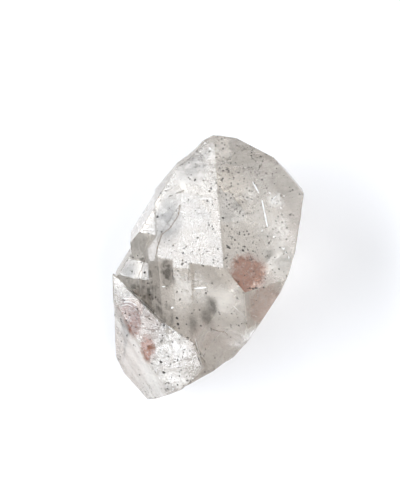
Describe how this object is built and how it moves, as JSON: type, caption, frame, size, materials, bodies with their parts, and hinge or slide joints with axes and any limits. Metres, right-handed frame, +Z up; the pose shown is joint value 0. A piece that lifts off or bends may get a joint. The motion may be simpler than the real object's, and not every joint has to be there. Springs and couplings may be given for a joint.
{
  "type": "quartz crystal",
  "caption": "Quartz crystal with a faceted point, parallel growth steps down one side, a smaller crystal across its lower end and a flat broken root.",
  "frame": {"origin": "on the flat cut of the root, under the middle of the crystal", "axes": "+Y along the crystal towards its point, +Z up from the root, +X to the right seen from above with the point away from the viewer"},
  "size_m": [0.0626, 0.0815, 0.0452],
  "materials": {
    "quartz": "gloss"
  },
  "bodies": {
    "root": {"quartz": "quartz"}
  },
  "joints": []
}
